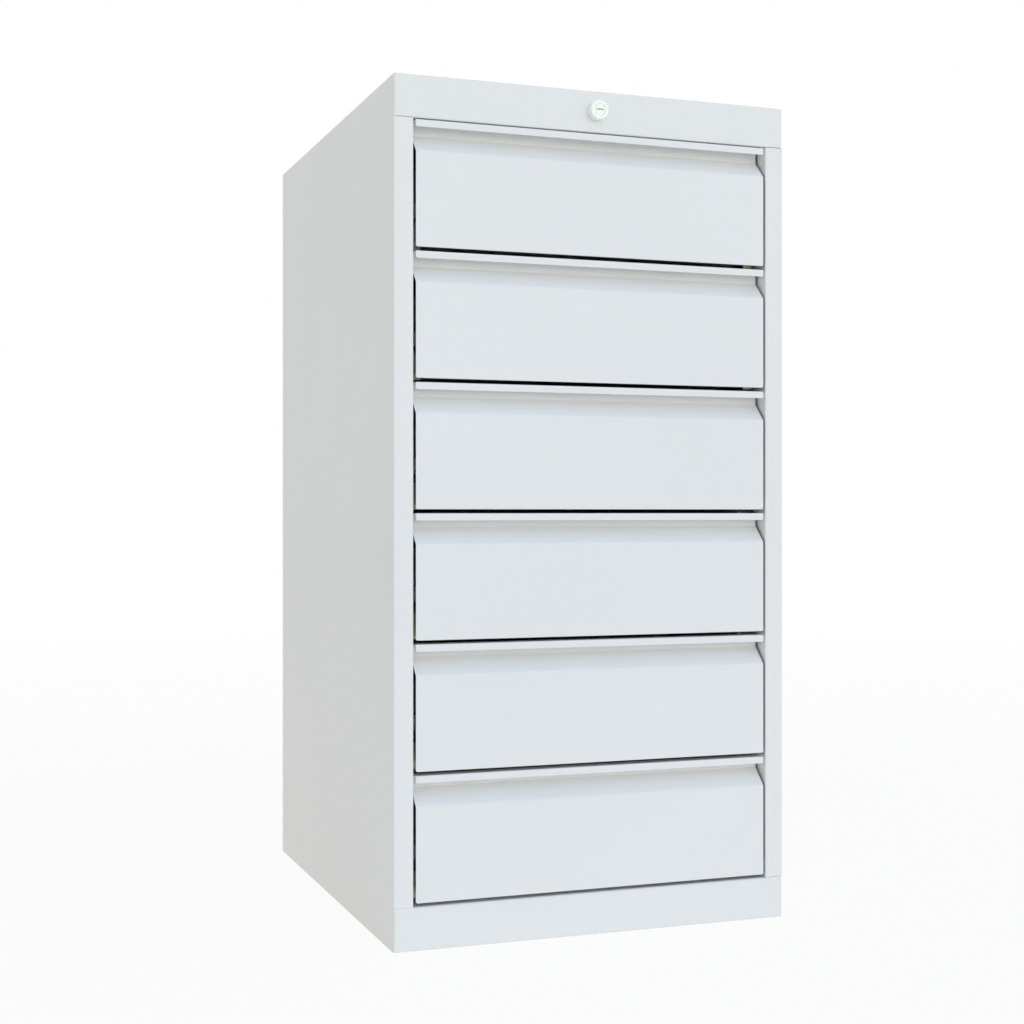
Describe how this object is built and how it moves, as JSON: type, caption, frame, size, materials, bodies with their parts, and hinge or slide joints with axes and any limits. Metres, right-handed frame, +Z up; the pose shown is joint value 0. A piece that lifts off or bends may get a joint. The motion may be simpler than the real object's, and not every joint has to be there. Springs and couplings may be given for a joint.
{
  "type": "metal drawer cabinet",
  "caption": "Free-standing sheet-steel drawer cabinet with inset drawers on full-extension ball slides, folded finger-grip fronts and a central cam lock in the upper band.",
  "frame": {"origin": "on the floor, at the centre of the footprint of the overall box, lock head included; the front plane is at Y = -0.2955", "axes": "+Z up, the drawers open towards -Y, +X to the right seen from the front"},
  "size_m": [0.499, 0.615, 1],
  "materials": {
    "case_paint": "light grey powder coat, satin",
    "front_paint": "light grey powder coat, satin",
    "inside_paint": "light grey powder coat, satin",
    "yellow_zinc": "yellow passivated zinc",
    "bright_zinc": "bright zinc",
    "nickel": "bright nickel plate",
    "brass": "bare, stamped",
    "rubber": "matt",
    "dark_plastic": "moulded, matt"
  },
  "bodies": {
    "cabinet": {"side_panel_left": "case_paint", "side_panel_right": "case_paint", "back_panel": "case_paint", "top_panel": "case_paint", "base_panel": "case_paint", "front_post_left": "inside_paint", "front_post_right": "inside_paint", "rear_post_left": "inside_paint", "rear_post_right": "inside_paint", "slide_outer_left": "yellow_zinc", "slide_outer_right": "yellow_zinc", "slide_rivets": "bright_zinc", "slide_buffers": "rubber", "lock_barrel": "nickel", "lock_nut": "bright_zinc", "bar_guides": "dark_plastic"},
    "lock_plug": {"lock_plug": "nickel", "lock_wafers": "brass", "lock_cam": "bright_zinc", "cam_screw": "bright_zinc"},
    "transfer_bar": {"transfer_bar": "bright_zinc"},
    "locking_bar": {"locking_bar": "bright_zinc", "locking_fingers": "bright_zinc"},
    "drawer_1": {"drawer_front_1": "front_paint", "drawer_tray_1": "inside_paint", "slide_inner_1": "yellow_zinc"},
    "slide_middle_1": {"slide_middle_1": "yellow_zinc"},
    "outer_ball_cage_1": {"outer_ball_cage_1": "bright_zinc"},
    "inner_ball_cage_1": {"inner_ball_cage_1": "bright_zinc"},
    "drawer_2": {"drawer_front_2": "front_paint", "drawer_tray_2": "inside_paint", "slide_inner_2": "yellow_zinc"},
    "slide_middle_2": {"slide_middle_2": "yellow_zinc"},
    "outer_ball_cage_2": {"outer_ball_cage_2": "bright_zinc"},
    "inner_ball_cage_2": {"inner_ball_cage_2": "bright_zinc"},
    "drawer_3": {"drawer_front_3": "front_paint", "drawer_tray_3": "inside_paint", "slide_inner_3": "yellow_zinc"},
    "slide_middle_3": {"slide_middle_3": "yellow_zinc"},
    "outer_ball_cage_3": {"outer_ball_cage_3": "bright_zinc"},
    "inner_ball_cage_3": {"inner_ball_cage_3": "bright_zinc"},
    "drawer_4": {"drawer_front_4": "front_paint", "drawer_tray_4": "inside_paint", "slide_inner_4": "yellow_zinc"},
    "slide_middle_4": {"slide_middle_4": "yellow_zinc"},
    "outer_ball_cage_4": {"outer_ball_cage_4": "bright_zinc"},
    "inner_ball_cage_4": {"inner_ball_cage_4": "bright_zinc"},
    "drawer_5": {"drawer_front_5": "front_paint", "drawer_tray_5": "inside_paint", "slide_inner_5": "yellow_zinc"},
    "slide_middle_5": {"slide_middle_5": "yellow_zinc"},
    "outer_ball_cage_5": {"outer_ball_cage_5": "bright_zinc"},
    "inner_ball_cage_5": {"inner_ball_cage_5": "bright_zinc"},
    "drawer_6": {"drawer_front_6": "front_paint", "drawer_tray_6": "inside_paint", "slide_inner_6": "yellow_zinc"},
    "slide_middle_6": {"slide_middle_6": "yellow_zinc"},
    "outer_ball_cage_6": {"outer_ball_cage_6": "bright_zinc"},
    "inner_ball_cage_6": {"inner_ball_cage_6": "bright_zinc"}
  },
  "joints": [
    {"name": "lock_turn", "type": "hinge", "parent": "cabinet", "child": "lock_plug", "pos_m": [0, -0.2955, 0.976], "axis": [0, -1, 0], "range_deg": [0, 90]},
    {"name": "transfer_bar_slide", "type": "slide", "parent": "cabinet", "child": "transfer_bar", "axis": [1, 0, 0], "range_m": [0, 0.02263]},
    {"name": "locking_bar_slide", "type": "slide", "parent": "cabinet", "child": "locking_bar", "axis": [0, 0, -1], "range_m": [0, 0.01]},
    {"name": "drawer_1_slide", "type": "slide", "parent": "cabinet", "child": "drawer_1", "axis": [0, -1, 0], "range_m": [0, 0.535]},
    {"name": "slide_middle_1_slide", "type": "slide", "parent": "cabinet", "child": "slide_middle_1", "axis": [0, -1, 0], "range_m": [0, 0.2675]},
    {"name": "outer_ball_cage_1_slide", "type": "slide", "parent": "cabinet", "child": "outer_ball_cage_1", "axis": [0, -1, 0], "range_m": [0, 0.13375]},
    {"name": "inner_ball_cage_1_slide", "type": "slide", "parent": "cabinet", "child": "inner_ball_cage_1", "axis": [0, -1, 0], "range_m": [0, 0.40125]},
    {"name": "drawer_2_slide", "type": "slide", "parent": "cabinet", "child": "drawer_2", "axis": [0, -1, 0], "range_m": [0, 0.535]},
    {"name": "slide_middle_2_slide", "type": "slide", "parent": "cabinet", "child": "slide_middle_2", "axis": [0, -1, 0], "range_m": [0, 0.2675]},
    {"name": "outer_ball_cage_2_slide", "type": "slide", "parent": "cabinet", "child": "outer_ball_cage_2", "axis": [0, -1, 0], "range_m": [0, 0.13375]},
    {"name": "inner_ball_cage_2_slide", "type": "slide", "parent": "cabinet", "child": "inner_ball_cage_2", "axis": [0, -1, 0], "range_m": [0, 0.40125]},
    {"name": "drawer_3_slide", "type": "slide", "parent": "cabinet", "child": "drawer_3", "axis": [0, -1, 0], "range_m": [0, 0.535]},
    {"name": "slide_middle_3_slide", "type": "slide", "parent": "cabinet", "child": "slide_middle_3", "axis": [0, -1, 0], "range_m": [0, 0.2675]},
    {"name": "outer_ball_cage_3_slide", "type": "slide", "parent": "cabinet", "child": "outer_ball_cage_3", "axis": [0, -1, 0], "range_m": [0, 0.13375]},
    {"name": "inner_ball_cage_3_slide", "type": "slide", "parent": "cabinet", "child": "inner_ball_cage_3", "axis": [0, -1, 0], "range_m": [0, 0.40125]},
    {"name": "drawer_4_slide", "type": "slide", "parent": "cabinet", "child": "drawer_4", "axis": [0, -1, 0], "range_m": [0, 0.535]},
    {"name": "slide_middle_4_slide", "type": "slide", "parent": "cabinet", "child": "slide_middle_4", "axis": [0, -1, 0], "range_m": [0, 0.2675]},
    {"name": "outer_ball_cage_4_slide", "type": "slide", "parent": "cabinet", "child": "outer_ball_cage_4", "axis": [0, -1, 0], "range_m": [0, 0.13375]},
    {"name": "inner_ball_cage_4_slide", "type": "slide", "parent": "cabinet", "child": "inner_ball_cage_4", "axis": [0, -1, 0], "range_m": [0, 0.40125]},
    {"name": "drawer_5_slide", "type": "slide", "parent": "cabinet", "child": "drawer_5", "axis": [0, -1, 0], "range_m": [0, 0.535]},
    {"name": "slide_middle_5_slide", "type": "slide", "parent": "cabinet", "child": "slide_middle_5", "axis": [0, -1, 0], "range_m": [0, 0.2675]},
    {"name": "outer_ball_cage_5_slide", "type": "slide", "parent": "cabinet", "child": "outer_ball_cage_5", "axis": [0, -1, 0], "range_m": [0, 0.13375]},
    {"name": "inner_ball_cage_5_slide", "type": "slide", "parent": "cabinet", "child": "inner_ball_cage_5", "axis": [0, -1, 0], "range_m": [0, 0.40125]},
    {"name": "drawer_6_slide", "type": "slide", "parent": "cabinet", "child": "drawer_6", "axis": [0, -1, 0], "range_m": [0, 0.535]},
    {"name": "slide_middle_6_slide", "type": "slide", "parent": "cabinet", "child": "slide_middle_6", "axis": [0, -1, 0], "range_m": [0, 0.2675]},
    {"name": "outer_ball_cage_6_slide", "type": "slide", "parent": "cabinet", "child": "outer_ball_cage_6", "axis": [0, -1, 0], "range_m": [0, 0.13375]},
    {"name": "inner_ball_cage_6_slide", "type": "slide", "parent": "cabinet", "child": "inner_ball_cage_6", "axis": [0, -1, 0], "range_m": [0, 0.40125]}
  ],
  "couplings": [
    {"joint": "lock_turn", "follows": "locking_bar_slide", "rad_per_m": 157.08},
    {"joint": "transfer_bar_slide", "follows": "locking_bar_slide", "ratio": 2.263},
    {"joint": "slide_middle_1_slide", "follows": "drawer_1_slide", "ratio": 0.5},
    {"joint": "outer_ball_cage_1_slide", "follows": "drawer_1_slide", "ratio": 0.25},
    {"joint": "inner_ball_cage_1_slide", "follows": "drawer_1_slide", "ratio": 0.75},
    {"joint": "slide_middle_2_slide", "follows": "drawer_2_slide", "ratio": 0.5},
    {"joint": "outer_ball_cage_2_slide", "follows": "drawer_2_slide", "ratio": 0.25},
    {"joint": "inner_ball_cage_2_slide", "follows": "drawer_2_slide", "ratio": 0.75},
    {"joint": "slide_middle_3_slide", "follows": "drawer_3_slide", "ratio": 0.5},
    {"joint": "outer_ball_cage_3_slide", "follows": "drawer_3_slide", "ratio": 0.25},
    {"joint": "inner_ball_cage_3_slide", "follows": "drawer_3_slide", "ratio": 0.75},
    {"joint": "slide_middle_4_slide", "follows": "drawer_4_slide", "ratio": 0.5},
    {"joint": "outer_ball_cage_4_slide", "follows": "drawer_4_slide", "ratio": 0.25},
    {"joint": "inner_ball_cage_4_slide", "follows": "drawer_4_slide", "ratio": 0.75},
    {"joint": "slide_middle_5_slide", "follows": "drawer_5_slide", "ratio": 0.5},
    {"joint": "outer_ball_cage_5_slide", "follows": "drawer_5_slide", "ratio": 0.25},
    {"joint": "inner_ball_cage_5_slide", "follows": "drawer_5_slide", "ratio": 0.75},
    {"joint": "slide_middle_6_slide", "follows": "drawer_6_slide", "ratio": 0.5},
    {"joint": "outer_ball_cage_6_slide", "follows": "drawer_6_slide", "ratio": 0.25},
    {"joint": "inner_ball_cage_6_slide", "follows": "drawer_6_slide", "ratio": 0.75}
  ]
}
